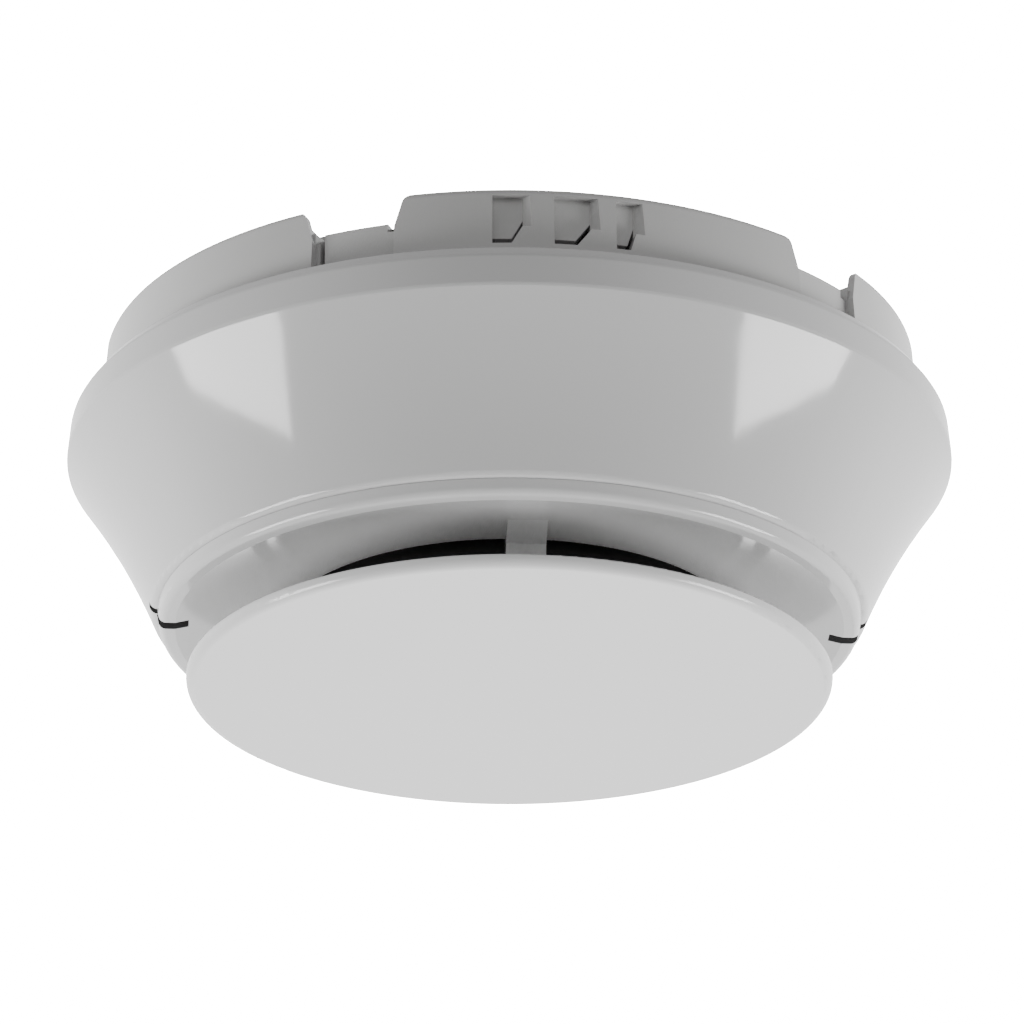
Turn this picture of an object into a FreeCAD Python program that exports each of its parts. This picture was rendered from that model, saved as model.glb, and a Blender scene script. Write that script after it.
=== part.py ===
"""Ceiling heat detector: a twist-lock mounting base and a plug-in sensing head with a pull-off front cover.

Frame: +Z up, origin at the centre of the face that lies on the ceiling. The detector hangs below it, so a
"depth" is a distance below the ceiling and its z is the negative of that. Azimuth 0 is the front (-Y) and
grows towards +X. Lengths are millimetres and angles are degrees.
"""

import FreeCAD, Part
import math
import os
import Sketcher
from FreeCAD import Placement, Rotation, Vector

UP = Vector(0, 0, 1)
DOC = FreeCAD.newDocument("heat_detector")
SHEET = DOC.addObject("Spreadsheet::Sheet", "dims")
PARTS_FOLDER = "parts"

# ---------------------------------------------------------------- driving dimensions

DRIVING = [
    # alias, value, meaning
    ("overall_depth", 42.2, "ceiling to the face of the disc"),
    ("body_radius", 52.65, "widest radius, at the crease of the housing"),
    ("shell_wall", 2.0, "wall of the outer housing"),
    ("skirt_top_radius", 48.25, "outside of the base's skirt at the ceiling"),
    ("skirt_low_radius", 48.9, "outside of the base's skirt at its lower edge"),
    ("skirt_depth", 9.4, "lower edge of the skirt"),
    ("skirt_inside", 45.6, "inside of the skirt below the floor"),
    ("floor_top", 3.0, "ceiling side of the base's floor"),
    ("floor_thick", 1.6, "thickness of the base's floor"),
    ("wire_radius", 14.0, "hole for the building's wires"),
    ("notch_wall_radius", 47.5, "outside of the low wall that shows in a notch"),
    ("notch_angle", 11.9, "width of a notch in the skirt at its foot"),
    ("pocket_back", 47.35, "back of a pocket, distance from the axis"),
    ("slot_spacing", 60.0, "screw slot to screw slot"),
    ("slot_length", 14.0, "end to end of a screw slot"),
    ("slot_radius", 2.25, "half the width of a screw slot"),
    ("lug_angle", 14.0, "width of a bayonet lug"),
    ("ledge_angle", 16.0, "width of the base's ledge under a lug"),
    ("lug_low", 7.8, "underside of a lug"),
    ("ledge_top", 8.0, "top of a ledge"),
    ("collar_radius", 43.5, "outside of the head's bayonet collar"),
    ("collar_top", 6.0, "top of the collar"),
    ("deck_top", 13.0, "top of the chassis plate"),
    ("deck_thick", 1.8, "thickness of the chassis plate"),
    ("flange_top", 8.9, "upper edge of the housing"),
    ("crease_depth", 14.1, "crease between the housing's band and its cone"),
    ("lip_radius", 42.1, "lower end of the cone"),
    ("lip_depth", 33.0, "lower edge of the housing"),
    ("cone_arc", 88.0, "radius of the cone's hollow flare"),
    ("socket_radius", 41.4, "bore of the housing that takes the cover"),
    ("rim_radius", 41.3, "outside of the front cover, in the socket"),
    ("rim_low_radius", 41.2, "lower edge of the cover's rim"),
    ("rim_depth", 34.8, "lowest point of the cover's rim"),
    ("throat_arc", 30.0, "radius of the throat's hollow"),
    ("neck_radius", 27.3, "lower edge of the throat, at the air windows"),
    ("neck_inside", 26.9, "inside of the neck"),
    ("collar_wall", 1.4, "wall of the cover's inner collar"),
    ("post_width", 4.6, "width of a post between two windows"),
    ("pry_width", 1.4, "width of a pry slot in the housing"),
    ("disc_radius", 38.0, "the face disc"),
    ("disc_thick", 1.45, "thickness of the face disc at its rim"),
    ("board_top", 17.5, "top of the circuit board"),
    ("board_thick", 1.6, "thickness of the circuit board"),
    ("board_radius", 36.0, "circuit board"),
    ("screw_circle", 46.6, "chassis screws, distance from the axis"),
    ("terminal_circle", 23.0, "terminal screws, distance from the axis"),
    ("contact_circle", 34.0, "contact pads, distance from the axis"),
    ("screen_radius", 25.6, "outside of the insect screen"),
    ("dial_offset", 6.5, "address dials, distance from the axis"),
    ("dial_radius", 3.0, "rotor of an address dial"),
    ("sensor_offset", 13.0, "thermistors, distance from the axis"),
]

LUG_AZIMUTHS = (72.0, 160.0, 300.0)
NOTCH_AZIMUTHS = (-91.0, -24.9, 45.9, 119.0, 193.0)
POCKETS = ((-3.0, 5.2), (5.8, 6.2), (13.1, 3.9))
TERMINAL_AZIMUTHS = (45.0, 135.0, 225.0, 315.0)
POST_AZIMUTHS = (0.5, 90.5, 180.5, 270.5)
SCREW_AZIMUTHS = (75.0, 200.0, 315.0)
LEVER_AZIMUTH = 180.0
SEAM_AZIMUTH = 58.0
LED_AZIMUTH = 180.0


class Size:
    """A number with the spreadsheet expression that gives it, so that sums of cells stay bound to the cells."""

    def __init__(self, value, text=None):
        self.value = float(value)
        self.text = text or repr(float(value))

    def __add__(self, other):
        other = size(other)
        return Size(self.value + other.value, f"({self.text} + {other.text})")

    def __sub__(self, other):
        other = size(other)
        return Size(self.value - other.value, f"({self.text} - {other.text})")

    def __mul__(self, other):
        other = size(other)
        return Size(self.value * other.value, f"({self.text} * {other.text})")

    def __truediv__(self, other):
        other = size(other)
        return Size(self.value / other.value, f"({self.text} / {other.text})")

    def __neg__(self):
        return Size(-self.value, f"(0 - {self.text})")

    __radd__ = __add__

    def __rsub__(self, other):
        return size(other) - self

    __rmul__ = __mul__


def size(number):
    return number if isinstance(number, Size) else Size(number)


def fill_sheet():
    """Writes the driving dimensions to the sheet and returns them by alias."""
    cells = {}
    for row, (alias, value, meaning) in enumerate(DRIVING, start=1):
        SHEET.set(f"A{row}", alias)
        SHEET.set(f"B{row}", str(value))
        SHEET.setAlias(f"B{row}", alias)
        SHEET.set(f"C{row}", meaning)
        cells[alias] = Size(value, f"dims.{alias}")
    DOC.recompute()
    return cells


D = fill_sheet()

# ---------------------------------------------------------------- modelling helpers


def bearing(azimuth):
    """Rotation about Z that turns +X to the given azimuth."""
    return azimuth - 90.0


def at_azimuth(radius, azimuth, depth):
    """Point at a distance from the axis, an azimuth and a depth."""
    turn_angle = math.radians(bearing(azimuth))
    return Vector(radius * math.cos(turn_angle), radius * math.sin(turn_angle), -depth)


def new_body(label):
    body = DOC.addObject("PartDesign::Body", label)
    body.Label = label
    return body


def origin_plane(body, role):
    return [f for f in body.Origin.OriginFeatures if f.Role == role][0]


def new_sketch(body, name, role, azimuth=None, depth=None):
    """Sketch on the upright plane at an azimuth, or on the level plane at a depth."""
    sketch = body.newObject("Sketcher::SketchObject", name)
    sketch.AttachmentSupport = [(origin_plane(body, role), "")]
    sketch.MapMode = "FlatFace"
    if azimuth is not None:
        axis = Vector(0, 1, 0) if role == "XZ_Plane" else UP
        sketch.AttachmentOffset = Placement(Vector(), Rotation(axis, bearing(azimuth)))
    if depth is not None:
        depth = size(depth)
        offset = sketch.AttachmentOffset
        offset.Base = Vector(0, 0, -depth.value)
        sketch.AttachmentOffset = offset
        sketch.setExpression("AttachmentOffset.Base.z", (-depth).text)
    return sketch


def bind(sketch, kind, geometry, point, value):
    """One horizontal, vertical or radius constraint, bound to the sheet where its size comes from there."""
    value = size(value)
    if kind == "Radius":
        index = sketch.addConstraint(Sketcher.Constraint(kind, geometry, value.value))
    else:
        index = sketch.addConstraint(Sketcher.Constraint(kind, -1, 1, geometry, point, value.value))
    if "dims." in value.text:
        sketch.setExpression(f"Constraints[{index}]", value.text)


def arc_middle(start, end, radius, side):
    """Middle point of the arc of a radius from start to end, bulging to the left (+1) or right (-1) of the way."""
    chord = end - start
    half = chord.Length / 2
    sagitta = radius - math.sqrt(radius * radius - half * half)
    left = Vector(-chord.y, chord.x, 0).normalize()
    return (start + end) / 2 + left * (side * sagitta)


def draw_outline(sketch, corners, arcs=None):
    """Closed outline through corners, pairs of sizes. arcs maps an edge's number to (radius, side)."""
    arcs = arcs or {}
    points = [Vector(size(x).value, size(y).value, 0) for x, y in corners]
    count = len(points)
    ends = []
    for i in range(count):
        start, end = points[i], points[(i + 1) % count]
        if i in arcs:
            radius, side = arcs[i]
            middle = arc_middle(start, end, size(radius).value, side)
            arc = Part.Arc(start, middle, end)
            sketch.addGeometry(arc, False)
            ends.append((1, 2) if side < 0 else (2, 1))
        else:
            sketch.addGeometry(Part.LineSegment(start, end), False)
            ends.append((1, 2))
    for i in range(count):
        following = (i + 1) % count
        joint = Sketcher.Constraint("Coincident", i, ends[i][1], following, ends[following][0])
        sketch.addConstraint(joint)
    for i, (x, y) in enumerate(corners):
        bind(sketch, "DistanceX", i, ends[i][0], x)
        bind(sketch, "DistanceY", i, ends[i][0], y)
    for i, (radius, _side) in arcs.items():
        bind(sketch, "Radius", i, 0, radius)


def draw_circles(sketch, circles):
    """Full circles, each (x, y, radius)."""
    for i, (x, y, radius) in enumerate(circles):
        x, y, radius = size(x), size(y), size(radius)
        circle = Part.Circle(Vector(x.value, y.value, 0), UP, radius.value)
        sketch.addGeometry(circle, False)
        bind(sketch, "DistanceX", i, 3, x)
        bind(sketch, "DistanceY", i, 3, y)
        bind(sketch, "Radius", i, 0, radius)


def require_change(body, feature, before, cut):
    """Stops the build where a feature did nothing to its body."""
    DOC.recompute()
    after = body.Shape.Volume
    if "Invalid" in feature.State or not (after < before - 1e-6 if cut else after > before + 1e-6):
        raise RuntimeError(f"{body.Label}.{feature.Name} changed nothing: {before} to {after}")


def volume_of(body):
    return body.Shape.Volume if body.Tip else 0.0


def turned(body, name, corners, angle=360.0, azimuth=90.0, cut=False, arcs=None):
    """Material swept round Z by an angle, centred on an azimuth. Corners are (distance from the axis, depth)."""
    before = volume_of(body)
    sketch = new_sketch(body, name + "_outline", "XZ_Plane", azimuth=azimuth)
    draw_outline(sketch, [(r, -size(d)) for r, d in corners], arcs)
    feature = body.newObject("PartDesign::Groove" if cut else "PartDesign::Revolution", name)
    feature.Profile = sketch
    feature.ReferenceAxis = (sketch, ["V_Axis"])
    feature.Midplane = True
    angle = size(angle)
    feature.Angle = angle.value
    if "dims." in angle.text:
        feature.setExpression("Angle", angle.text)
    sketch.Visibility = False
    require_change(body, feature, before, cut)
    return feature


def prism(body, name, draw, top, bottom, azimuth=90.0, cut=False):
    """Upright prism between two depths. draw puts its outline in the sketch, whose X points to the azimuth."""
    before = volume_of(body)
    top, bottom = size(top), size(bottom)
    level = top if cut else bottom
    sketch = new_sketch(body, name + "_outline", "XY_Plane", azimuth=azimuth, depth=level)
    draw(sketch)
    feature = body.newObject("PartDesign::Pocket" if cut else "PartDesign::Pad", name)
    feature.Profile = sketch
    length = bottom - top
    feature.Length = length.value
    if "dims." in length.text:
        feature.setExpression("Length", length.text)
    sketch.Visibility = False
    require_change(body, feature, before, cut)
    return feature


def slab(body, name, corners, width, azimuth, cut=False):
    """Upright plate centred on the plane at an azimuth. Corners are (distance from the axis, depth)."""
    before = volume_of(body)
    sketch = new_sketch(body, name + "_outline", "XZ_Plane", azimuth=azimuth)
    draw_outline(sketch, [(r, -size(d)) for r, d in corners])
    feature = body.newObject("PartDesign::Pocket" if cut else "PartDesign::Pad", name)
    feature.Profile = sketch
    feature.Midplane = True
    feature.Length = size(width).value
    if "dims." in size(width).text:
        feature.setExpression("Length", size(width).text)
    sketch.Visibility = False
    require_change(body, feature, before, cut)
    return feature


def rectangle(x0, x1, half_width):
    """Draws a rectangle from x0 to x1, with the given half width in Y."""
    return lambda sketch: draw_outline(
        sketch, [(x0, -size(half_width)), (x1, -size(half_width)), (x1, half_width), (x0, half_width)]
    )


def obround(x, half_length, radius):
    """Draws a slot with round ends along X, centred at x."""
    x, half_length, radius = size(x), size(half_length), size(radius)
    left, right = x - half_length + radius, x + half_length - radius
    corners = [(left, -radius), (right, -radius), (right, radius), (left, radius)]

    def draw(sketch):
        points = [Vector(a.value, b.value, 0) for a, b in corners]
        sketch.addGeometry(Part.LineSegment(points[0], points[1]), False)
        sketch.addGeometry(
            Part.Arc(points[1], Vector((right + radius).value, 0, 0), points[2]), False
        )
        sketch.addGeometry(Part.LineSegment(points[2], points[3]), False)
        sketch.addGeometry(
            Part.Arc(points[3], Vector((left - radius).value, 0, 0), points[0]), False
        )
        for i in range(4):
            joint = Sketcher.Constraint("Coincident", i, 2, (i + 1) % 4, 1)
            sketch.addConstraint(joint)
        for i, (a, b) in enumerate(corners):
            bind(sketch, "DistanceX", i, 1, a)
            bind(sketch, "DistanceY", i, 1, b)
        bind(sketch, "DistanceX", 1, 3, right)
        bind(sketch, "DistanceX", 3, 3, left)

    return draw


def circles(*items):
    return lambda sketch: draw_circles(sketch, items)


def round_rings(body, name, radius, rings):
    """Rounds the circular edges at the given (distance from the axis, depth) places."""
    base = body.Tip
    names = []
    for number, edge in enumerate(base.Shape.Edges, start=1):
        curve = edge.Curve
        if not isinstance(curve, Part.Circle):
            continue
        for r, depth in rings:
            near_radius = abs(curve.Radius - size(r).value) < 0.01
            if near_radius and abs(curve.Center.z + size(depth).value) < 0.01:
                names.append(f"Edge{number}")
    if len(names) < len(rings):
        raise RuntimeError(f"{body.Label}.{name} found {len(names)} of {len(rings)} edges")
    fillet = body.newObject("PartDesign::Fillet", name)
    fillet.Base = (base, names)
    fillet.Radius = size(radius).value
    if "dims." in size(radius).text:
        fillet.setExpression("Radius", size(radius).text)
    DOC.recompute()
    if fillet.Shape.isNull() or not fillet.Shape.isValid():
        raise RuntimeError(f"{body.Label}.{name} left no sound solid")
    return fillet


def place_at(body, radius, azimuth, depth=0.0):
    """Moves a finished body from the axis to its place round it, keeping its X pointing outwards."""
    body.Placement = Placement(at_azimuth(radius, azimuth, depth), Rotation(UP, bearing(azimuth)))


def grouped(label, shapes):
    """One node that holds several like solids."""
    feature = DOC.addObject("Part::Feature", label)
    feature.Label = label
    feature.Shape = Part.makeCompound(shapes)
    return feature


def rod(start, end, radius):
    """Round bar between two points."""
    way = end - start
    return Part.makeCylinder(radius, way.Length, start, way)


# ---------------------------------------------------------------- mounting base


def make_base_skirt():
    """Light outer ring of the base: notched skirt with an inward lip, ledges for the head's lugs and their stops."""
    body = new_body("base_skirt")
    floor_low = D["floor_top"] + D["floor_thick"]
    wall = 0.9
    lip_inside = D["skirt_inside"] - 1.6
    turned(
        body,
        "ring",
        [
            (D["skirt_top_radius"] - wall, 0.0),
            (D["skirt_top_radius"], 0.0),
            (D["skirt_low_radius"], D["skirt_depth"]),
            (D["skirt_inside"], D["skirt_depth"]),
            (D["skirt_inside"], D["floor_top"]),
            (lip_inside, D["floor_top"]),
            (lip_inside, D["floor_top"] - 0.8),
            (D["skirt_top_radius"] - wall, D["floor_top"] - 0.8),
        ],
    )
    round_rings(body, "top_round", 0.9, [(D["skirt_top_radius"], 0.0)])
    ledge_inside = D["collar_radius"] + 0.4
    stop_angle = 2.0
    for azimuth in LUG_AZIMUTHS:
        add_ring(body, f"ledge_{azimuth:.0f}", ledge_inside, D["skirt_inside"] + 0.2, D["ledge_top"],
                 D["skirt_depth"], D["ledge_angle"], azimuth)
        beyond = azimuth + D["lug_angle"].value / 2 + 0.3 + stop_angle / 2
        add_ring(body, f"stop_{azimuth:.0f}", ledge_inside, D["skirt_inside"] + 0.2, floor_low + 0.1,
                 D["ledge_top"], stop_angle, beyond)
    cut_skirt_notches(body)
    cut_skirt_pockets(body)
    return body


def cut_skirt_notches(body):
    """Flared gaps in the skirt that leave its low inner wall standing, with a hole at each end of that wall."""
    outside = D["skirt_low_radius"] + 2.0
    wall_top = D["floor_top"] + 0.3
    hole_low = wall_top + 1.0
    hole_angle, slit_angle = 1.3, 0.7
    half = D["notch_angle"].value / 2
    for number, azimuth in enumerate(NOTCH_AZIMUTHS, start=1):
        cut_ring(body, f"notch_{number}", D["notch_wall_radius"], outside, -1.0,
                 D["skirt_depth"] + 1.0, D["notch_angle"], azimuth)
        cut_face(body, f"notch_flare_{number}", azimuth, D["notch_wall_radius"], notch_flare(4.6), NOTCH_ROUND)
        cut_face(body, f"notch_mouth_{number}", azimuth, D["skirt_inside"] - 0.6, notch_flare(3.0), NOTCH_ROUND)
        cut_ring(body, f"notch_top_{number}", D["skirt_inside"] - 3.0, outside, -1.0,
                 wall_top, D["notch_angle"], azimuth)
        for side, way in (("left", -1), ("right", 1)):
            cut_ring(body, f"hole_{side}_{number}", D["skirt_inside"] - 0.5, outside,
                     wall_top - 0.2, hole_low, hole_angle, azimuth + way * (half - hole_angle / 2))
        cut_ring(body, f"slit_{number}", D["skirt_inside"] - 0.5, outside, hole_low - 0.2,
                 D["ledge_top"] - 0.7, slit_angle, azimuth - half + hole_angle - slit_angle / 2)


NOTCH_ROUND = {1: (1.75, -1), 5: (1.75, -1)}


def notch_flare(foot_depth):
    """Outline of a notch that widens towards the ceiling with rounded corners, down to a depth."""
    shoulder, shoulder_depth, mouth = 5.75, 1.5, 7.1
    narrowing = 0.274
    foot = shoulder - narrowing * (foot_depth - shoulder_depth)
    above = -1.0
    return [
        (-foot, foot_depth),
        (-shoulder, shoulder_depth),
        (-mouth, 0.0),
        (-mouth, above),
        (mouth, above),
        (mouth, 0.0),
        (shoulder, shoulder_depth),
        (foot, foot_depth),
    ]


def cut_face(body, name, azimuth, reach, outline, arcs=None):
    """Cuts an outline, drawn as seen from the side, outwards from a distance from the axis."""
    before = volume_of(body)
    sketch = new_sketch(body, name + "_outline", "XZ_Plane", azimuth=azimuth + 90.0)
    offset = sketch.AttachmentOffset
    offset.Base = offset.Rotation.multVec(Vector(0, 0, size(reach).value))
    sketch.AttachmentOffset = offset
    draw_outline(sketch, [(t, -size(d)) for t, d in outline], arcs)
    feature = body.newObject("PartDesign::Pocket", name)
    feature.Profile = sketch
    feature.Length = 8.0
    feature.Reversed = True
    sketch.Visibility = False
    require_change(body, feature, before, True)


def cut_ring(body, name, inside, outside, top, bottom, angle, azimuth):
    """Cuts away part of a ring with a rectangular section."""
    corners = [(inside, top), (outside, top), (outside, bottom), (inside, bottom)]
    return turned(body, name, corners, angle, azimuth, cut=True)


def add_ring(body, name, inside, outside, top, bottom, angle, azimuth):
    """Adds part of a ring with a rectangular section."""
    corners = [(inside, top), (outside, top), (outside, bottom), (inside, bottom)]
    return turned(body, name, corners, angle, azimuth)


def cut_skirt_pockets(body):
    """Three shallow pockets in the front of the skirt, sloped on the right and open to the inside at their foot."""
    top, corner, foot = 1.0, 5.0, 7.2
    opening = 1.15
    slope_run, slope_rise = 0.95, 1.05
    far = D["skirt_low_radius"] + 0.8
    first, last = POCKETS[0], POCKETS[-1]
    start, end = first[0] - first[1] / 2, last[0] + last[1] / 2
    add_ring(body, "pocket_backing", D["skirt_inside"], D["skirt_top_radius"] - 0.4, 0.6,
             D["floor_top"] + 0.2, end - start + 2.0, (start + end) / 2)
    for number, (azimuth, angle) in enumerate(POCKETS, start=1):
        half = math.radians(angle / 2) * D["skirt_top_radius"].value
        right = half - slope_run
        outline = [(-half, foot), (-half, top), (right, top), (right, corner), (0.0, foot)]
        cut_face(body, f"pocket_{number}", azimuth, D["pocket_back"], outline)
        reach = far.value - D["pocket_back"].value
        outside = right + reach * slope_run / slope_rise
        corners = [(D["pocket_back"], right - 0.05), (far, right - 0.05), (far, outside)]
        prism(body, f"pocket_slope_{number}", lambda sketch, c=corners: draw_outline(sketch, c),
              top, corner, azimuth, cut=True)
        outline = [(-half, foot), (-half, foot - opening), (0.0, foot - opening), (right, corner - opening),
                   (right, corner), (0.0, foot)]
        cut_face(body, f"pocket_opening_{number}", azimuth, D["skirt_inside"] - 0.6, outline)


def make_base_plate():
    """Dark inner plate of the base, under the skirt's lip: screw slots, terminal bosses, ribs and wire collar."""
    body = new_body("base_plate")
    floor_low = D["floor_top"] + D["floor_thick"]
    turned(
        body,
        "plate",
        [
            (D["wire_radius"], D["floor_top"]),
            (D["skirt_inside"] - 0.05, D["floor_top"]),
            (D["skirt_inside"] - 0.05, floor_low),
            (D["wire_radius"], floor_low),
        ],
    )
    turned(
        body,
        "wire_collar",
        [
            (D["wire_radius"], 0.8),
            (D["wire_radius"] + 1.6, 0.8),
            (D["wire_radius"] + 1.6, D["floor_top"]),
            (D["wire_radius"], D["floor_top"]),
        ],
    )
    rib_count = 8
    for number in range(rib_count):
        azimuth = 22.5 + number * 360.0 / rib_count
        outline = rectangle(D["wire_radius"] + 1.2, D["skirt_inside"] - 1.8, 0.6)
        prism(body, f"rib_{number + 1}", outline, 1.4, D["floor_top"], azimuth)
    sides = (("right", 90.0), ("left", 270.0))
    boss_wall = 2.6
    for side, azimuth in sides:
        outline = obround(D["slot_spacing"] / 2, D["slot_length"] / 2 + boss_wall, D["slot_radius"] + boss_wall)
        prism(body, f"slot_boss_{side}", outline, 0.0, D["floor_top"], azimuth)
    for azimuth in TERMINAL_AZIMUTHS:
        outline = circles((D["terminal_circle"], 0.0, 4.0))
        prism(body, f"terminal_boss_{azimuth:.0f}", outline, 0.8, D["floor_top"], azimuth)
    for azimuth in TERMINAL_AZIMUTHS:
        outline = circles((D["terminal_circle"], 0.0, 1.75))
        prism(body, f"terminal_hole_{azimuth:.0f}", outline, 0.0, D["skirt_depth"], azimuth, cut=True)
    for side, azimuth in sides:
        outline = obround(D["slot_spacing"] / 2, D["slot_length"] / 2, D["slot_radius"])
        prism(body, f"screw_slot_{side}", outline, 0.0, D["skirt_depth"], azimuth, cut=True)
    window = rectangle(23.4, 44.3, 2.9)
    prism(body, "lever_window", window, 0.0, D["ledge_top"] - 1.0, LEVER_AZIMUTH, cut=True)
    return body


# ---------------------------------------------------------------- terminals and lever


def make_terminals():
    """Four spring contacts under the floor, each with a clamp plate, and their screws as one group."""
    floor_low = (D["floor_top"] + D["floor_thick"]).value
    strip_thick = 0.6
    plate_top = floor_low + strip_thick
    plate_thick = 1.0
    head_top = plate_top + plate_thick
    hole_radius = 1.85
    centre = D["terminal_circle"].value
    reach = D["contact_circle"].value
    spring_low = 8.65
    nodes = []
    for number, azimuth in enumerate(TERMINAL_AZIMUTHS, start=1):
        body = new_body(f"base_contact_{number}")
        sketch = new_sketch(body, f"strip_side_{number}", "XZ_Plane")
        bend = reach - 4.6
        draw_outline(
            sketch,
            [
                (centre - 5.0, -floor_low),
                (centre - 5.0, -plate_top),
                (bend - 0.2, -plate_top),
                (reach, -spring_low),
                (reach + 2.6, -(spring_low - 1.5)),
                (reach + 2.9, -(spring_low - 2.0)),
                (reach + 0.1, -(spring_low - strip_thick - 0.1)),
                (bend + 0.3, -floor_low),
            ],
        )
        strip = body.newObject("PartDesign::Pad", f"strip_{number}")
        strip.Profile = sketch
        strip.Midplane = True
        strip.Length = 6.0
        DOC.recompute()
        prism(
            body,
            f"strip_hole_{number}",
            circles((centre, 0.0, hole_radius)),
            0.0,
            9.0,
            cut=True,
        )
        place_at(body, 0.0, azimuth)
        nodes.append(body)
    plates, screws = [], []
    for azimuth in TERMINAL_AZIMUTHS:
        turn_to = Rotation(UP, bearing(azimuth))
        plate = Part.makeBox(8, 8, plate_thick, Vector(centre - 4, -4, -head_top))
        plate = plate.cut(Part.makeCylinder(hole_radius, 4, Vector(centre, 0, -head_top - 1)))
        plate = plate.makeFillet(0.6, [e for e in plate.Edges if abs(e.Length - plate_thick) < 1e-6])
        screw = terminal_screw(centre, head_top)
        for shape, group in ((plate, plates), (screw, screws)):
            shape.Placement = Placement(Vector(), turn_to).multiply(shape.Placement)
            group.append(shape)
    nodes.append(grouped("clamp_plates", plates))
    nodes.append(grouped("terminal_screws", screws))
    return nodes


def terminal_screw(centre, head_top):
    """Pan-head screw seen from below, with a cross recess, its shank going up through the floor."""
    head_height = 1.9
    head = Part.makeCylinder(3.1, head_height, Vector(centre, 0, -head_top - head_height))
    head = head.makeFillet(
        0.7, [e for e in head.Edges if abs(e.CenterOfMass.z + head_top + head_height) < 1e-6]
    )
    shank = Part.makeCylinder(1.6, head_top - 1.2, Vector(centre, 0, -head_top))
    screw = head.fuse(shank)
    low = -head_top - head_height
    for length, width in ((3.6, 0.8), (0.8, 3.6)):
        recess = Part.makeBox(length, width, 0.9, Vector(centre - length / 2, -width / 2, low))
        screw = screw.cut(recess)
    return screw.removeSplitter()


def make_lock_lever():
    """Tamper lever in the floor's window: a springy finger with a tooth above the head's collar."""
    body = new_body("lock_lever")
    pivot = 24.4
    barrel = 0.8
    top = D["floor_top"] + 0.1
    low = top + 1.4
    prism(body, "finger", rectangle(pivot, 43.6, 2.5), top, low, LEVER_AZIMUTH)
    prism(body, "tooth", rectangle(41.6, 43.4, 2.2), low, D["collar_top"] - 0.3, LEVER_AZIMUTH)
    sketch = new_sketch(body, "barrel_outline", "XZ_Plane", azimuth=LEVER_AZIMUTH)
    draw_circles(sketch, [(pivot, -(top.value + 0.7), barrel)])
    pin = body.newObject("PartDesign::Pad", "barrel")
    pin.Profile = sketch
    pin.Midplane = True
    pin.Length = 5.0
    DOC.recompute()
    prism(body, "press_pad", rectangle(36.0, 40.0, 1.6), 2.2, top, LEVER_AZIMUTH)
    return body


# ---------------------------------------------------------------- head: shells


def make_outer_housing():
    """Flanged conical shell, hollow-flared to a lip, with a socket for the cover and bosses for the chassis."""
    body = new_body("outer_housing")
    top_radius = D["body_radius"] - 1.4
    edge_radius = D["body_radius"] - 0.35
    edge_depth = D["flange_top"] + 1.4
    inside = D["body_radius"] - 2.35
    ledge_inside = D["socket_radius"] - 2.2
    ledge_low = D["lip_depth"] - 2.5
    lip_round = 0.98
    turned(
        body,
        "shell",
        [
            (top_radius - 1.8, D["flange_top"]),
            (top_radius, D["flange_top"]),
            (edge_radius, edge_depth),
            (D["body_radius"], D["crease_depth"]),
            (D["lip_radius"] + 0.248, D["lip_depth"] - 0.611),
            (D["lip_radius"] - 0.66, D["lip_depth"]),
            (D["socket_radius"], D["lip_depth"]),
            (D["socket_radius"], ledge_low),
            (ledge_inside, ledge_low),
            (ledge_inside, ledge_low - 1.3),
            (ledge_inside + 2.0, ledge_low - 2.3),
            (inside, D["deck_top"] + D["deck_thick"]),
            (inside, edge_depth + 0.6),
        ],
        azimuth=SEAM_AZIMUTH,
        arcs={3: (D["cone_arc"], -1), 4: (lip_round, 1)},
    )
    round_rings(body, "crease", 0.6, [(D["body_radius"], D["crease_depth"])])
    round_rings(body, "band_edge", 0.8, [(edge_radius, edge_depth)])
    round_rings(body, "top_edge", 0.5, [(top_radius, D["flange_top"])])
    boss_top = D["deck_top"] + D["deck_thick"]
    for number, azimuth in enumerate(SCREW_AZIMUTHS, start=1):
        prism(
            body,
            f"boss_{number}",
            circles((D["screw_circle"] - 0.4, 0.0, 2.9)),
            boss_top,
            boss_top + 3.4,
            azimuth,
        )
    for number, azimuth in enumerate(SCREW_AZIMUTHS, start=1):
        prism(
            body,
            f"boss_hole_{number}",
            circles((D["screw_circle"], 0.0, 1.25)),
            boss_top - 0.5,
            boss_top + 3.0,
            azimuth,
            cut=True,
        )
    slot_top = D["lip_depth"] - 0.9
    well_outside = D["socket_radius"] + 0.3
    for side, azimuth in (("right", 90.0), ("left", 270.0)):
        slab(
            body,
            f"pry_slot_{side}",
            [
                (ledge_inside - 1.0, ledge_low - 3.0),
                (well_outside, ledge_low - 3.0),
                (well_outside, slot_top),
                (D["lip_radius"] + 3.0, slot_top),
                (D["lip_radius"] + 3.0, D["lip_depth"] + 1.0),
                (ledge_inside - 1.0, D["lip_depth"] + 1.0),
            ],
            D["pry_width"],
            azimuth,
            cut=True,
        )
    drill_led_hole(body)
    return body


def led_axis():
    """Point on the cone's outer face and the outward direction of the indicator at the back."""
    slope = math.radians(31.0)
    face = at_azimuth(46.35, LED_AZIMUTH, 24.0)
    outward = at_azimuth(1.0, LED_AZIMUTH, 0.0) * math.cos(slope) - UP * math.sin(slope)
    return face, outward


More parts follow.
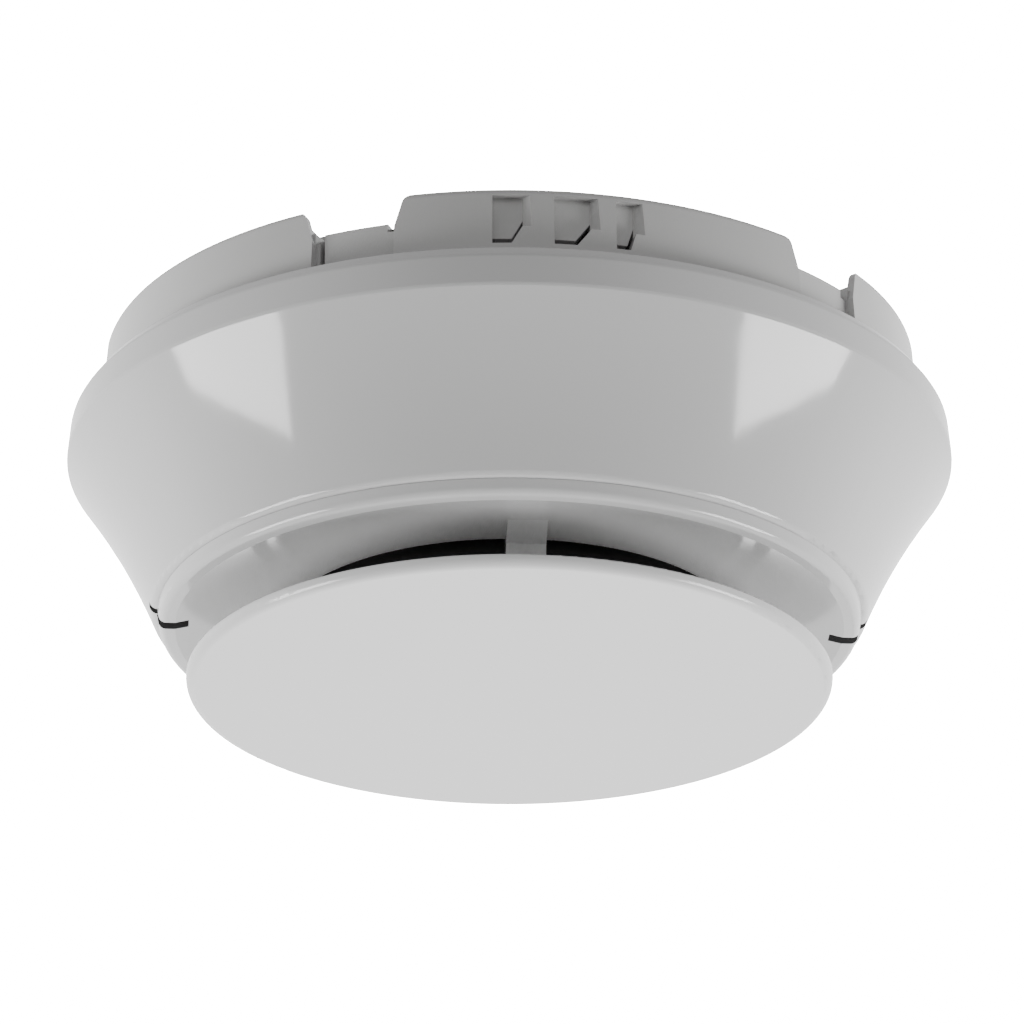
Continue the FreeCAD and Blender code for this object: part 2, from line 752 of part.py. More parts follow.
def drill_led_hole(body):
    """Hole for the indicator, square to the cone at the back."""
    hole_radius = 1.65
    sketch = body.newObject("Sketcher::SketchObject", "led_hole_outline")
    sketch.AttachmentSupport = [(origin_plane(body, "XY_Plane"), "")]
    sketch.MapMode = "FlatFace"
    face, outward = led_axis()
    sketch.AttachmentOffset = Placement(face + outward * 4.0, Rotation(UP, outward))
    draw_circles(sketch, [(0.0, 0.0, hole_radius)])
    before = volume_of(body)
    hole = body.newObject("PartDesign::Pocket", "led_hole")
    hole.Profile = sketch
    hole.Length = 9.0
    require_change(body, hole, before, True)


def make_head_chassis():
    """Black inner moulding: deck with the bayonet collar and lugs, contact pillars and board posts."""
    body = new_body("head_chassis")
    deck_low = D["deck_top"] + D["deck_thick"]
    deck_radius = D["body_radius"] - 2.55
    prism(body, "deck", circles((0.0, 0.0, deck_radius)), D["deck_top"], deck_low)
    turned(
        body,
        "collar",
        [
            (D["collar_radius"] - 2.0, D["collar_top"]),
            (D["collar_radius"], D["collar_top"]),
            (D["collar_radius"], D["deck_top"]),
            (D["collar_radius"] - 2.0, D["deck_top"]),
        ],
    )
    for azimuth in LUG_AZIMUTHS:
        turned(
            body,
            f"lug_{azimuth:.0f}",
            [
                (D["collar_radius"] - 0.2, D["lug_low"] - 1.4),
                (D["collar_radius"] + 1.6, D["lug_low"] - 1.4),
                (D["collar_radius"] + 1.6, D["lug_low"]),
                (D["collar_radius"] - 0.2, D["lug_low"]),
            ],
            D["lug_angle"],
            azimuth,
        )
    guard_start, guard_end = -31.0, 52.0
    add_ring(body, "guard", D["collar_radius"] - 0.5, D["skirt_inside"] - 0.45, D["floor_top"] + 2.0,
             D["deck_top"], guard_end - guard_start, (guard_start + guard_end) / 2)
    pad_low = 9.6
    for azimuth in TERMINAL_AZIMUTHS:
        prism(
            body,
            f"pillar_{azimuth:.0f}",
            rectangle(D["contact_circle"] - 3.0, D["contact_circle"] + 3.0, 3.4),
            pad_low,
            D["deck_top"],
            azimuth,
        )
        prism(
            body,
            f"pillar_hole_{azimuth:.0f}",
            rectangle(D["contact_circle"] - 0.6, D["contact_circle"] + 0.6, 1.7),
            pad_low - 1.0,
            deck_low + 1.0,
            azimuth,
            cut=True,
        )
    for number, azimuth in enumerate((90.0, 210.0, 330.0), start=1):
        prism(
            body,
            f"board_post_{number}",
            circles((28.0, 0.0, 2.6)),
            deck_low,
            D["board_top"],
            azimuth,
        )
        prism(
            body,
            f"board_post_hole_{number}",
            circles((28.0, 0.0, 1.0)),
            deck_low - 0.5,
            D["board_top"] + 1.0,
            azimuth,
            cut=True,
        )
    for side, azimuth in (("right", 90.0), ("left", 270.0)):
        prism(
            body,
            f"dial_hole_{side}",
            circles((D["dial_offset"], 0.0, D["dial_radius"] + 0.15)),
            D["deck_top"] - 1.0,
            deck_low + 1.0,
            azimuth,
            cut=True,
        )
    for number, azimuth in enumerate(SCREW_AZIMUTHS, start=1):
        prism(
            body,
            f"screw_hole_{number}",
            circles((D["screw_circle"], 0.0, 1.6)),
            D["deck_top"] - 1.0,
            deck_low + 1.0,
            azimuth,
            cut=True,
        )
    prism(
        body,
        "lever_notch",
        rectangle(D["collar_radius"] - 2.6, D["collar_radius"] + 0.6, 2.8),
        D["collar_top"] - 1.0,
        D["collar_top"] + 1.4,
        LEVER_AZIMUTH,
        cut=True,
    )
    return body


# ---------------------------------------------------------------- front cover


def make_front_cover():
    """Rim, hollow throat and neck collar in one moulding, with posts that carry the face disc."""
    body = new_body("front_cover")
    wall = 1.6
    collar_top = D["rim_depth"] - 3.8
    throat_low = D["rim_depth"] - 0.6
    disc_top = D["overall_depth"] - D["disc_thick"]
    rim_inside = D["rim_radius"] - wall
    turned(
        body,
        "throat",
        [
            (D["rim_radius"], D["lip_depth"] - 2.1),
            (D["rim_radius"], D["lip_depth"] + 0.05),
            (D["rim_radius"] + 0.25, D["lip_depth"] + 0.05),
            (D["rim_low_radius"], D["rim_depth"]),
            (D["rim_low_radius"] - 1.8, D["rim_depth"]),
            (D["neck_radius"], throat_low),
            (D["neck_inside"], throat_low),
            (D["neck_inside"], collar_top),
            (D["neck_inside"] + D["collar_wall"], collar_top),
            (D["neck_inside"] + D["collar_wall"], throat_low - wall),
            (rim_inside, D["rim_depth"] - wall - 0.4),
            (rim_inside, D["lip_depth"] - 2.1),
        ],
        azimuth=SEAM_AZIMUTH,
        arcs={4: (D["throat_arc"], -1), 9: (D["throat_arc"], 1)},
    )
    round_rings(body, "rim", 0.9, [(D["rim_low_radius"], D["rim_depth"])])
    post_root = throat_low - 1.0
    for azimuth in POST_AZIMUTHS:
        slab(
            body,
            f"post_{azimuth:.0f}",
            [
                (D["neck_inside"], post_root),
                (D["neck_radius"] + 5.4, post_root),
                (D["neck_radius"] + 1.5, throat_low + 1.4),
                (D["neck_radius"] + 0.9, disc_top),
                (D["neck_inside"], disc_top),
            ],
            D["post_width"],
            azimuth,
        )
    for side, azimuth in (("right", 90.0), ("left", 270.0)):
        slab(
            body,
            f"pry_slot_{side}",
            [
                (D["rim_radius"] - 3.5, D["lip_depth"] - 2.5),
                (D["rim_radius"] + 2.0, D["lip_depth"] - 2.5),
                (D["rim_radius"] + 2.0, D["rim_depth"] + 1.0),
                (D["rim_radius"] - 3.5, D["rim_depth"] + 1.0),
            ],
            D["pry_width"] + 0.5,
            azimuth,
            cut=True,
        )
    return body


def make_face_disc():
    """Flat disc that closes the neck, with a low ring that centres the screen."""
    body = new_body("face_disc")
    top = D["overall_depth"] - D["disc_thick"]
    prism(body, "plate", circles((0.0, 0.0, D["disc_radius"])), top, D["overall_depth"])
    round_rings(body, "lower_edge", 1.1, [(D["disc_radius"], D["overall_depth"])])
    round_rings(body, "upper_edge", 0.2, [(D["disc_radius"], top)])
    ring = D["screen_radius"] - 0.6
    turned(
        body,
        "screen_ring",
        [(ring - 0.9, top - 1.1), (ring, top - 1.1), (ring, top), (ring - 0.9, top)],
    )
    return body


def make_insect_screen():
    """Thin cylindrical screen inside the windows."""
    body = new_body("insect_screen")
    top = D["rim_depth"] - 2.8
    low = D["overall_depth"] - D["disc_thick"] - 0.05
    inside = D["screen_radius"] - 0.4
    turned(body, "screen", [(inside, top), (D["screen_radius"], top), (D["screen_radius"], low), (inside, low)])
    return body


# ---------------------------------------------------------------- head: inside


def make_sensor_carrier():
    """Black inner cup above the air chamber: it carries the thermistors and stands off the board."""
    body = new_body("sensor_carrier")
    plate_top = D["rim_depth"] - 3.4
    plate_low = plate_top + 1.6
    board_low = D["board_top"] + D["board_thick"]
    rim_outside = D["screen_radius"] - 0.7
    prism(body, "plate", circles((0.0, 0.0, rim_outside)), plate_top, plate_low)
    turned(
        body,
        "rim",
        [
            (rim_outside - 1.2, plate_low),
            (rim_outside, plate_low),
            (rim_outside, plate_low + 1.6),
            (rim_outside - 1.2, plate_low + 1.6),
        ],
    )
    for number, azimuth in enumerate((60.0, 180.0, 300.0), start=1):
        prism(body, f"column_{number}", circles((20.0, 0.0, 2.2)), board_low, plate_top, azimuth)
    for side, azimuth in (("right", 90.0), ("left", 270.0)):
        prism(
            body,
            f"tower_{side}",
            circles((D["sensor_offset"], 0.0, 2.6)),
            plate_low,
            plate_low + 1.9,
            azimuth,
        )
        prism(
            body,
            f"tower_hole_{side}",
            circles((D["sensor_offset"], 1.0, 0.4), (D["sensor_offset"], -1.0, 0.4)),
            plate_top - 1.0,
            plate_low + 3.0,
            azimuth,
            cut=True,
        )
    return body


def make_thermistors():
    """Two glass-bead thermistors, each with its leads from the board down into the air chamber."""
    nodes = []
    lead_radius = 0.25
    bead_radius = 1.25
    bead_depth = D["rim_depth"].value + 2.6
    board_low = (D["board_top"] + D["board_thick"]).value
    for number, side in enumerate((1, -1), start=1):
        x = side * D["sensor_offset"].value
        bead_centre = Vector(x, 0, -bead_depth)
        bead = Part.makeSphere(bead_radius, bead_centre)
        leads = []
        for offset in (-1.0, 1.0):
            foot = Vector(x, offset, -(bead_depth - 1.9))
            lead = rod(Vector(x, offset, -board_low), foot, lead_radius)
            tail = rod(foot, bead_centre + Vector(0, offset * 0.4, 0.4), lead_radius)
            elbow = Part.makeSphere(lead_radius, foot)
            leads += [lead, elbow, tail]
        shape = bead
        for piece in leads:
            shape = shape.fuse(piece)
        node = DOC.addObject("Part::Feature", f"thermistor_{number}")
        node.Label = f"thermistor_{number}"
        node.Shape = shape.removeSplitter()
        nodes.append(node)
    return nodes


def make_circuit_board():
    body = new_body("circuit_board")
    low = D["board_top"] + D["board_thick"]
    prism(body, "board", circles((0.0, 0.0, D["board_radius"])), D["board_top"], low)
    holes = []
    for azimuth in (90.0, 210.0, 330.0):
        place = at_azimuth(28.0, azimuth, 0.0)
        holes.append((place.x, place.y, 1.3))
    sketch_holes = circles(*holes)
    prism(body, "screw_holes", sketch_holes, D["board_top"] - 1.0, low + 1.0, cut=True)
    return body


def make_board_components():
    """Chip, capacitors, small parts and reed switch on the underside of the board."""
    low = (D["board_top"] + D["board_thick"]).value
    nodes = []

    chip = DOC.addObject("Part::Box", "controller_chip")
    chip.Label = "controller_chip"
    chip.Length, chip.Width, chip.Height = 9.0, 9.0, 1.3
    chip.Placement = Placement(Vector(-4.5, -4.5, -low - 1.3), Rotation())
    nodes.append(chip)

    capacitor = Part.makeCylinder(3.1, 6.4, Vector(0, 0, -low - 6.4))
    rim_edges = [e for e in capacitor.Edges if abs(e.CenterOfMass.z + low + 6.4) < 1e-6]
    capacitor = capacitor.makeFillet(0.5, rim_edges)
    places = (Vector(-23, 6, 0), Vector(-22, 14, 0))
    nodes.append(grouped("capacitors", [capacitor.translated(p) for p in places]))

    chips = []
    for row in range(3):
        for column in range(4):
            corner = Vector(8.0 + column * 4.2, 9.0 + row * 4.0, -low - 0.7)
            chips.append(Part.makeBox(2.4, 1.4, 0.7, corner))
    nodes.append(grouped("surface_parts", chips))

    reed_depth = low + 1.5
    tube = Part.makeCylinder(1.2, 13.0, Vector(22.0, -16.0, -reed_depth), Vector(0, 1, 0))
    tube = tube.makeFillet(0.8, [e for e in tube.Edges if isinstance(e.Curve, Part.Circle)])
    reed = DOC.addObject("Part::Feature", "reed_switch")
    reed.Label = "reed_switch"
    wire_radius = 0.3
    wires = [
        rod(Vector(22, y0, -reed_depth), Vector(22, y1, -reed_depth), wire_radius)
        for y0, y1 in ((-19.0, -15.0), (-4.0, 0.0))
    ]
    legs = [rod(Vector(22, y, -reed_depth), Vector(22, y, -low), wire_radius) for y in (-19.0, 0.0)]
    elbows = [Part.makeSphere(wire_radius, Vector(22, y, -reed_depth)) for y in (-19.0, 0.0)]
    shape = tube
    for piece in wires + legs + elbows:
        shape = shape.fuse(piece)
    reed.Shape = shape.removeSplitter()
    nodes.append(reed)
    return nodes


def make_contact_blades():
    """Four head contacts: a flat pad on each chassis pillar with a stem down to the board."""
    nodes = []
    pad_top, pad_low = Size(8.8), Size(9.6)
    for number, azimuth in enumerate(TERMINAL_AZIMUTHS, start=1):
        body = new_body(f"contact_blade_{number}")
        centre = D["contact_circle"]
        prism(body, f"pad_{number}", rectangle(centre - 2.8, centre + 2.8, 3.0), pad_top, pad_low, azimuth)
        prism(body, f"stem_{number}", rectangle(centre - 0.4, centre + 0.4, 1.5), pad_low, D["board_top"], azimuth)
        nodes.append(body)
    return nodes


def make_address_dials():
    """Two ten-position switches: their bodies on the board, their rotors up through the deck."""
    nodes = []
    deck_low = (D["deck_top"] + D["deck_thick"]).value
    body_top = deck_low + 0.1
    bodies = []
    for side in (1, -1):
        corner = Vector(side * D["dial_offset"].value - 5, -5, -D["board_top"].value)
        box = Part.makeBox(10, 10, D["board_top"].value - body_top, corner)
        bodies.append(box.makeFillet(0.5, [e for e in box.Edges if abs(e.Length - box.BoundBox.ZLength) < 1e-6]))
    nodes.append(grouped("dial_switch_bodies", bodies))
    for label, azimuth in (("dial_tens", 270.0), ("dial_units", 90.0)):
        body = new_body(label)
        top = D["deck_top"] - 0.3
        prism(body, label + "_rotor", circles((D["dial_offset"], 0.0, D["dial_radius"])), top, body_top, azimuth)
        prism(
            body,
            label + "_slot",
            rectangle(D["dial_offset"] - 2.3, D["dial_offset"] + 2.3, 0.45),
            top - 0.5,
            top + 0.8,
            azimuth,
            cut=True,
        )
        nodes.append(body)
    return nodes


def pan_screw(head_radius, head_height, shank_radius, shank_length, recess):
    """Screw with its head up and the underside of the head at z = 0."""
    head = Part.makeCylinder(head_radius, head_height)
    head = head.makeFillet(
        head_height * 0.45, [e for e in head.Edges if abs(e.CenterOfMass.z - head_height) < 1e-6]
    )
    shank = Part.makeCylinder(shank_radius, shank_length, Vector(0, 0, -shank_length))
    screw = head.fuse(shank)
    for length, width in ((recess, recess * 0.25), (recess * 0.25, recess)):
        corner = Vector(-length / 2, -width / 2, head_height * 0.4)
        screw = screw.cut(Part.makeBox(length, width, head_height, corner))
    return screw.removeSplitter()


def make_head_screws():
    """Screws that hold the chassis in the housing, and the board under the chassis."""
    chassis_screws = []
    for azimuth in SCREW_AZIMUTHS:
        screw = pan_screw(2.4, 1.6, 1.2, 4.4, 2.6)
        screw.translate(at_azimuth(D["screw_circle"].value, azimuth, D["deck_top"].value))
        chassis_screws.append(screw)
    board_screws = []
    low = (D["board_top"] + D["board_thick"]).value
    for azimuth in (90.0, 210.0, 330.0):
        screw = pan_screw(2.0, 1.4, 0.95, 3.9, 2.2)
        screw.rotate(Vector(), Vector(1, 0, 0), 180)
        screw.translate(at_azimuth(28.0, azimuth, low))
        board_screws.append(screw)
    return [grouped("chassis_screws", chassis_screws), grouped("board_screws", board_screws)]


def make_status_led():
    """Red indicator through the cone at the back, and its two leads to the board."""
    face, outward = led_axis()
    lens_radius = 1.5
    inner = face - outward * 4.2
    barrel = rod(inner, face + outward * 0.1, lens_radius)
    flange = rod(inner, inner + outward * 0.8, 1.9)
    dome = Part.makeSphere(lens_radius, face + outward * 0.1)
    lens = DOC.addObject("Part::Feature", "status_led")
    lens.Label = "status_led"
    lens.Shape = barrel.fuse([flange, dome]).removeSplitter()
    low = (D["board_top"] + D["board_thick"]).value
    leads = []
    for offset in (-0.9, 0.9):
        start = inner + Vector(offset, 0, 0)
        end = at_azimuth(34.0, LED_AZIMUTH, low + 0.3) + Vector(offset, 0, 0)
        leads.append(rod(start, end, 0.22))
    return [lens, grouped("led_leads", leads)]


# ---------------------------------------------------------------- build, check and write


def build():
    nodes = [make_base_skirt(), make_base_plate()]
    nodes += make_terminals()
    nodes.append(make_lock_lever())
    nodes.append(make_outer_housing())
    nodes.append(make_head_chassis())
    nodes.append(make_front_cover())
    nodes.append(make_face_disc())
    nodes.append(make_insect_screen())
    nodes.append(make_sensor_carrier())
    nodes += make_thermistors()
    nodes.append(make_circuit_board())
    nodes += make_board_components()
    nodes += make_contact_blades()
    nodes += make_address_dials()
    nodes += make_head_screws()
    nodes += make_status_led()
    return nodes


def check(nodes):
    """Stops the build where an object failed or a sub-part isn't a sound solid."""
    for item in DOC.Objects:
        if "Invalid" in item.State or "Error" in item.State:
            raise RuntimeError(f"{item.Label} failed: {item.State}")
    for node in nodes:
        shape = node.Shape
        if shape.isNull() or not shape.isValid() or not shape.Solids:
            raise RuntimeError(f"{node.Label} is not a valid solid")


def write(nodes):
    os.makedirs(PARTS_FOLDER, exist_ok=True)
    for name in os.listdir(PARTS_FOLDER):
        os.remove(os.path.join(PARTS_FOLDER, name))
    for node in nodes:
        node.Shape.exportStep(os.path.join(PARTS_FOLDER, node.Label + ".step"))


DOC.recompute()
NODES = build()
DOC.recompute()
check(NODES)
write(NODES)
for node in NODES:
    print(f"{node.Label}: {len(node.Shape.Solids)} solid(s), {node.Shape.Volume:.1f} mm3")
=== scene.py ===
import math

import bpy
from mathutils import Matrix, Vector

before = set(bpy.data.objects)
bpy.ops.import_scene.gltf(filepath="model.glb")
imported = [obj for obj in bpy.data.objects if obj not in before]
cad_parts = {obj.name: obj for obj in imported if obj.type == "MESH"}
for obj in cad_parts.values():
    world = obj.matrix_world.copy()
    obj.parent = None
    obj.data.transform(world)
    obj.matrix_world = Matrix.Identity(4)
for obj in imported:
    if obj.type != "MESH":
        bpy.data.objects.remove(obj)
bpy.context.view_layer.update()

MM = 0.001

# ---------------------------------------------------------------- shader nodes


def feed(tree, socket, value):
    """Sets a node's input to a number, or links another node's output to it."""
    if isinstance(value, float):
        socket.default_value = value
    else:
        tree.links.new(value, socket)


def math_node(tree, operation, *values):
    node = tree.nodes.new("ShaderNodeMath")
    node.operation = operation
    for socket, value in zip(node.inputs, values):
        feed(tree, socket, value)
    return node.outputs[0]


def smooth_range(tree, source, start, end, low, high):
    """Runs softly from low to high while the source runs from start to end."""
    node = tree.nodes.new("ShaderNodeMapRange")
    node.interpolation_type = "SMOOTHSTEP"
    names = ("Value", "From Min", "From Max", "To Min", "To Max")
    for name, value in zip(names, (source, start, end, low, high)):
        feed(tree, node.inputs[name], value)
    return node.outputs["Result"]


def new_material(name):
    material = bpy.data.materials.new(name)
    material.use_nodes = True
    tree = material.node_tree
    shader = next(n for n in tree.nodes if n.type == "BSDF_PRINCIPLED")
    return material, tree, shader


def noise(tree, scale, detail=4.0, roughness=0.5):
    coords = tree.nodes.new("ShaderNodeTexCoord")
    node = tree.nodes.new("ShaderNodeTexNoise")
    node.inputs["Scale"].default_value = scale
    node.inputs["Detail"].default_value = detail
    node.inputs["Roughness"].default_value = roughness
    tree.links.new(coords.outputs["Object"], node.inputs["Vector"])
    return node


def ramp(tree, source, low, high, first, last):
    node = tree.nodes.new("ShaderNodeValToRGB")
    node.color_ramp.elements[0].position = low
    node.color_ramp.elements[0].color = first
    node.color_ramp.elements[1].position = high
    node.color_ramp.elements[1].color = last
    tree.links.new(source, node.inputs["Fac"])
    return node


def grey(value):
    return (value, value, value, 1.0)


def tinted(color, factor):
    return (color[0] * factor, color[1] * factor, color[2] * factor, 1.0)


# ---------------------------------------------------------------- materials

# Noise scales are in features per metre, roughly.
CLOUD_SCALE = 35.0
STREAK_SCALE = 140.0
BRUSHED_SCALE = 300.0
CLEAR_SCALE = 200.0
GRAIN_HEIGHT = 0.05 * MM
PLASTIC_IOR = 1.5
CLEAR_IOR = 1.53


def moulded(name, color, rough, grain_scale, grain, spread=0.03):
    """Moulded plastic: slightly uneven colour and gloss, and a fine surface grain."""
    material, tree, shader = new_material(name)
    clouds = noise(tree, CLOUD_SCALE)
    dark, light = tinted(color, 1.0 - spread), tinted(color, 1.0 + spread)
    tone = ramp(tree, clouds.outputs["Fac"], 0.3, 0.7, dark, light)
    tree.links.new(tone.outputs["Color"], shader.inputs["Base Color"])
    streaks = noise(tree, STREAK_SCALE, detail=6.0)
    gloss = ramp(tree, streaks.outputs["Fac"], 0.25, 0.75, grey(rough * 0.88), grey(rough * 1.12))
    tree.links.new(gloss.outputs["Color"], shader.inputs["Roughness"])
    fine = noise(tree, grain_scale, detail=2.0)
    bump = tree.nodes.new("ShaderNodeBump")
    bump.inputs["Strength"].default_value = grain
    bump.inputs["Distance"].default_value = GRAIN_HEIGHT
    tree.links.new(fine.outputs["Fac"], bump.inputs["Height"])
    tree.links.new(bump.outputs["Normal"], shader.inputs["Normal"])
    shader.inputs["IOR"].default_value = PLASTIC_IOR
    return material


# Colour of the painted shade inside the pry slots.
SLOT_PAINTED_SHADE = 0.10


def paint_slot_shade(material, half_width, outside_radius, top):
    """Paints shade into the pry slots: darkens the colour near the XZ plane, far out from the axis
    and below a height.
    """
    tree = material.node_tree
    shader = next(n for n in tree.nodes if n.type == "BSDF_PRINCIPLED")
    clean = shader.inputs["Base Color"].links[0].from_socket
    coords = tree.nodes.new("ShaderNodeTexCoord")
    split = tree.nodes.new("ShaderNodeSeparateXYZ")
    tree.links.new(coords.outputs["Object"], split.inputs[0])
    across = math_node(tree, "ABSOLUTE", split.outputs["Y"])
    along = math_node(tree, "ABSOLUTE", split.outputs["X"])
    inside = math_node(tree, "LESS_THAN", across, half_width)
    outer = math_node(tree, "GREATER_THAN", along, outside_radius)
    low = math_node(tree, "LESS_THAN", split.outputs["Z"], top)
    painted_shade_mask = math_node(tree, "MULTIPLY", math_node(tree, "MULTIPLY", inside, outer), low)
    blend = tree.nodes.new("ShaderNodeMix")
    blend.data_type = "RGBA"
    first, second = [socket for socket in blend.inputs if socket.type == "RGBA"]
    result = next(socket for socket in blend.outputs if socket.type == "RGBA")
    tree.links.new(painted_shade_mask, blend.inputs[0])
    tree.links.new(clean, first)
    second.default_value = grey(SLOT_PAINTED_SHADE)
    tree.links.new(result, shader.inputs["Base Color"])


def metal(name, color, rough):
    """Plated or sprung metal with fine brushed unevenness."""
    material, tree, shader = new_material(name)
    clouds = noise(tree, BRUSHED_SCALE, detail=6.0)
    tone = ramp(tree, clouds.outputs["Fac"], 0.3, 0.7, tinted(color, 0.88), tinted(color, 1.05))
    tree.links.new(tone.outputs["Color"], shader.inputs["Base Color"])
    gloss = ramp(tree, clouds.outputs["Fac"], 0.2, 0.8, grey(rough * 0.8), grey(rough * 1.25))
    tree.links.new(gloss.outputs["Color"], shader.inputs["Roughness"])
    shader.inputs["Metallic"].default_value = 1.0
    return material


def clear(name, color, rough, transmission):
    """Tinted clear plastic or glass."""
    material, tree, shader = new_material(name)
    clouds = noise(tree, CLEAR_SCALE)
    tone = ramp(tree, clouds.outputs["Fac"], 0.3, 0.7, tinted(color, 0.9), tinted(color, 1.1))
    tree.links.new(tone.outputs["Color"], shader.inputs["Base Color"])
    shader.inputs["Roughness"].default_value = rough
    shader.inputs["Transmission Weight"].default_value = transmission
    shader.inputs["IOR"].default_value = CLEAR_IOR
    return material


ABS = (0.60, 0.60, 0.60)
HOUSING = moulded("housing_abs", ABS, 0.09, 900.0, 0.05, 0.006)
COVER = moulded("cover_abs", ABS, 0.10, 900.0, 0.05, 0.006)
# The disc is the same ABS as the housing and the cover; its colour is raised from 0.60 to 0.68 as
# painted light, for its bright downward face.
DISC_PAINTED_LIGHT = moulded("disc_abs_painted_light", (0.68, 0.68, 0.68), 0.16, 900.0, 0.05, 0.006)
BASE = moulded("base_abs", (0.52, 0.52, 0.515), 0.24, 900.0, 0.08, 0.01)
BLACK = moulded("black_pbt", (0.012, 0.012, 0.012), 0.45, 700.0, 0.2, 0.2)
BOARD = moulded("solder_mask", (0.02, 0.12, 0.05), 0.25, 500.0, 0.2, 0.1)
CHIP = moulded("epoxy_package", (0.02, 0.02, 0.022), 0.5, 900.0, 0.3, 0.1)
SLEEVE = moulded("capacitor_sleeve", (0.02, 0.03, 0.10), 0.3, 600.0, 0.1, 0.1)
CERAMIC = moulded("ceramic_part", (0.30, 0.20, 0.12), 0.5, 900.0, 0.2, 0.1)
BEAD = moulded("sensor_bead", (0.04, 0.02, 0.015), 0.3, 900.0, 0.2, 0.1)
SWITCH = moulded("switch_body", (0.03, 0.08, 0.28), 0.35, 800.0, 0.2, 0.08)
ROTOR = moulded("switch_rotor", (0.80, 0.80, 0.78), 0.35, 800.0, 0.2, 0.02)
ZINC = metal("zinc_plate", (0.62, 0.63, 0.64), 0.32)
TIN = metal("tinned_bronze", (0.70, 0.62, 0.46), 0.28)
GLASS = clear("tube_glass", (0.55, 0.75, 0.58), 0.05, 0.8)
LENS = clear("indicator_lens", (0.65, 0.03, 0.03), 0.08, 0.6)

# Painted shade in the pry slots of the housing and of the cover.
paint_slot_shade(HOUSING, 0.71 * MM, 38.0 * MM, -32.05 * MM)
paint_slot_shade(COVER, 0.96 * MM, 37.79 * MM, -30.0 * MM)

MATERIAL_OF = {
    "base_skirt": BASE,
    "base_plate": BLACK,
    "lock_lever": BASE,
    "clamp_plates": ZINC,
    "terminal_screws": ZINC,
    "chassis_screws": ZINC,
    "board_screws": ZINC,
    "outer_housing": HOUSING,
    "front_cover": COVER,
    "face_disc": DISC_PAINTED_LIGHT,
    "head_chassis": BLACK,
    "sensor_carrier": BLACK,
    "insect_screen": BLACK,
    "thermistor_1": BEAD,
    "thermistor_2": BEAD,
    "circuit_board": BOARD,
    "controller_chip": CHIP,
    "capacitors": SLEEVE,
    "surface_parts": CERAMIC,
    "reed_switch": GLASS,
    "dial_switch_bodies": SWITCH,
    "dial_tens": ROTOR,
    "dial_units": ROTOR,
    "status_led": LENS,
    "led_leads": TIN,
}


def dress(name, node):
    """Gives a CAD node its material; contacts and blades are the ones left to tin."""
    node.data.materials.clear()
    node.data.materials.append(MATERIAL_OF.get(name, TIN))


for node_name, node_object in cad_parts.items():
    dress(node_name, node_object)

# ---------------------------------------------------------------- stage, lights and camera


def square(name, half, location):
    mesh = bpy.data.meshes.new(name)
    corners = [(-half, -half, 0), (half, -half, 0), (half, half, 0), (-half, half, 0)]
    mesh.from_pydata(corners, [], [(0, 1, 2, 3)])
    plane = bpy.data.objects.new(name, mesh)
    plane.location = location
    bpy.context.collection.objects.link(plane)
    return plane


FLOOR_HEIGHT = -1.2
FLOOR_HALF = 4.0
floor = square("floor", FLOOR_HALF, (0, 0, FLOOR_HEIGHT))
floor.data.materials.append(moulded("floor_paint", (0.88, 0.88, 0.88), 0.6, 100.0, 0.0, 0.01))
floor.visible_diffuse = False
floor.visible_glossy = False
floor.visible_shadow = False

TARGET = Vector((0, 0, -22.2 * MM))
DISTANCE = 0.8
LOOK_UP = math.radians(23.22)
TURN = math.radians(-3.3)
SENSOR = 36.0
LENS_LENGTH = 237.07
SHIFT_ACROSS = 0.0025
SHIFT_UP = 0.0225
NEAREST = 0.01
FARTHEST = 20.0


def toward(azimuth, elevation):
    """Unit vector from the object: azimuth 0 is the front (-Y) and grows towards +X."""
    level = math.cos(elevation)
    return Vector((math.sin(azimuth) * level, -math.cos(azimuth) * level, math.sin(elevation)))


def aim(item, place, target):
    item.location = place
    item.rotation_euler = (target - place).to_track_quat("-Z", "Y").to_euler()


camera_data = bpy.data.cameras.new("camera")
camera_data.sensor_width = SENSOR
camera_data.lens = LENS_LENGTH
camera_data.shift_x = SHIFT_ACROSS
camera_data.shift_y = SHIFT_UP
camera_data.clip_start = NEAREST
camera_data.clip_end = FARTHEST
camera = bpy.data.objects.new("camera", camera_data)
bpy.context.collection.objects.link(camera)
aim(camera, TARGET + toward(TURN, -LOOK_UP) * DISTANCE, TARGET)
bpy.context.scene.camera = camera


def area_light(name, azimuth, elevation, distance, width, height, power):
    """Soft box that faces the object from an azimuth and an elevation, in degrees."""
    data = bpy.data.lights.new(name, "AREA")
    data.shape = "RECTANGLE"
    data.size = width
    data.size_y = height
    data.energy = power
    light = bpy.data.objects.new(name, data)
    bpy.context.collection.objects.link(light)
    place = TARGET + toward(math.radians(azimuth), math.radians(elevation)) * distance
    aim(light, place, TARGET)
    return light


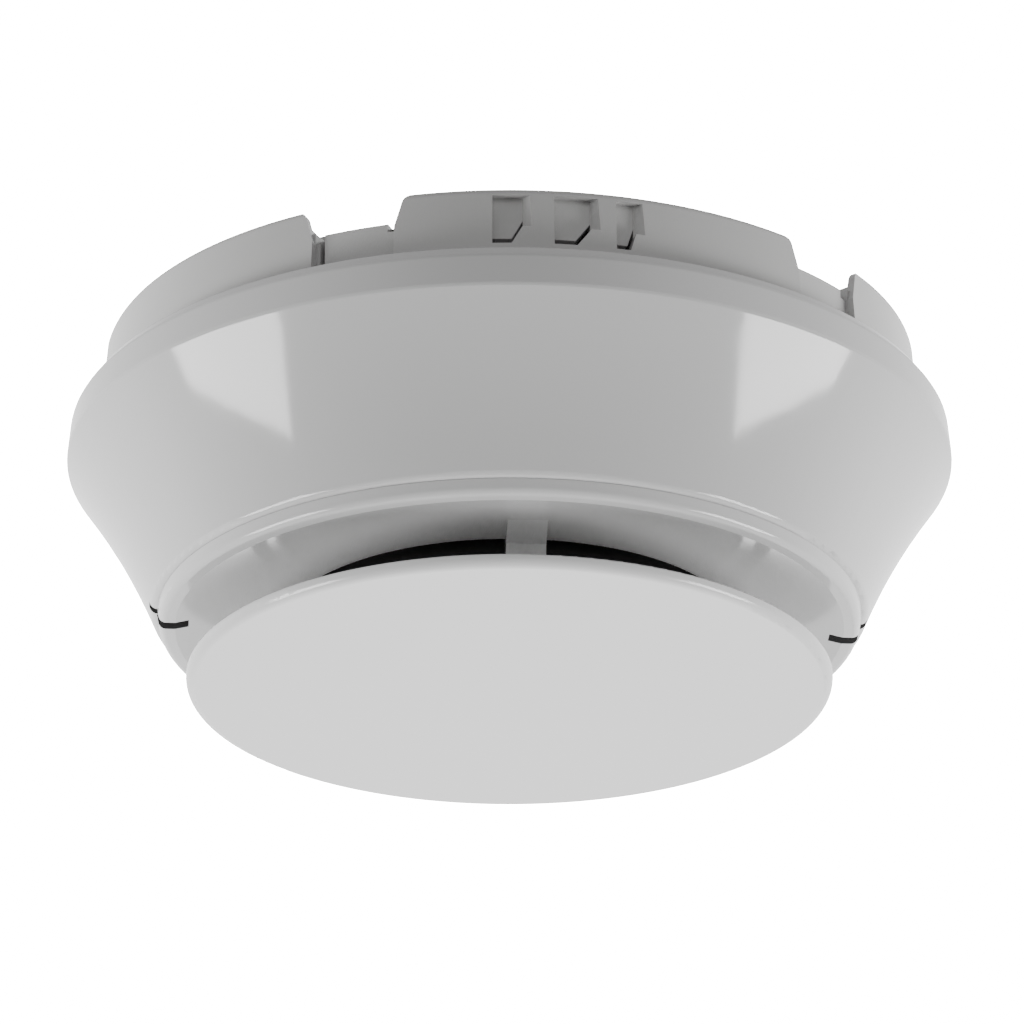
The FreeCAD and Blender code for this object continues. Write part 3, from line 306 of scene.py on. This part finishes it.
BOX_ELEVATION = -30.5
BOX_DISTANCE = 1.2
BOX_WIDTH = 0.57
BOX_HEIGHT = 0.40
for box_name, box_azimuth, box_power in (("box_left", -83.6, 12.0), ("box_right", 78.3, 13.0)):
    area_light(box_name, box_azimuth, BOX_ELEVATION, BOX_DISTANCE, BOX_WIDTH, BOX_HEIGHT, box_power)

FRONT_LOW_STRENGTH = 0.2
FRONT_HIGH_STRENGTH = 0.95
OVERHEAD_DIMMING = 0.3
BACK_STRENGTH = 2.4
BACKDROP_STRENGTH = 25.0


def studio_world():
    """Soft light, brighter upwards and to the back, dimmed overhead, and a white backdrop."""
    world = bpy.data.worlds.new("studio")
    bpy.context.scene.world = world
    world.use_nodes = True
    tree = world.node_tree
    light = next(n for n in tree.nodes if n.type == "BACKGROUND")
    output = next(n for n in tree.nodes if n.type == "OUTPUT_WORLD")
    coords = tree.nodes.new("ShaderNodeTexCoord")
    split = tree.nodes.new("ShaderNodeSeparateXYZ")
    tree.links.new(coords.outputs["Generated"], split.inputs[0])
    back, up = split.outputs["Y"], split.outputs["Z"]
    front = smooth_range(tree, up, -0.1, 0.4, FRONT_LOW_STRENGTH, FRONT_HIGH_STRENGTH)
    depth = smooth_range(tree, back, -0.2, 0.6, front, BACK_STRENGTH)
    overhead = smooth_range(tree, up, 0.3, 0.8, 1.0, OVERHEAD_DIMMING)
    tree.links.new(math_node(tree, "MULTIPLY", depth, overhead), light.inputs["Strength"])
    light.inputs["Color"].default_value = grey(1.0)
    backdrop = tree.nodes.new("ShaderNodeBackground")
    backdrop.inputs["Strength"].default_value = BACKDROP_STRENGTH
    backdrop.inputs["Color"].default_value = grey(1.0)
    path = tree.nodes.new("ShaderNodeLightPath")
    choose = tree.nodes.new("ShaderNodeMixShader")
    tree.links.new(path.outputs["Is Camera Ray"], choose.inputs[0])
    tree.links.new(light.outputs[0], choose.inputs[1])
    tree.links.new(backdrop.outputs[0], choose.inputs[2])
    tree.links.new(choose.outputs[0], output.inputs["Surface"])


studio_world()
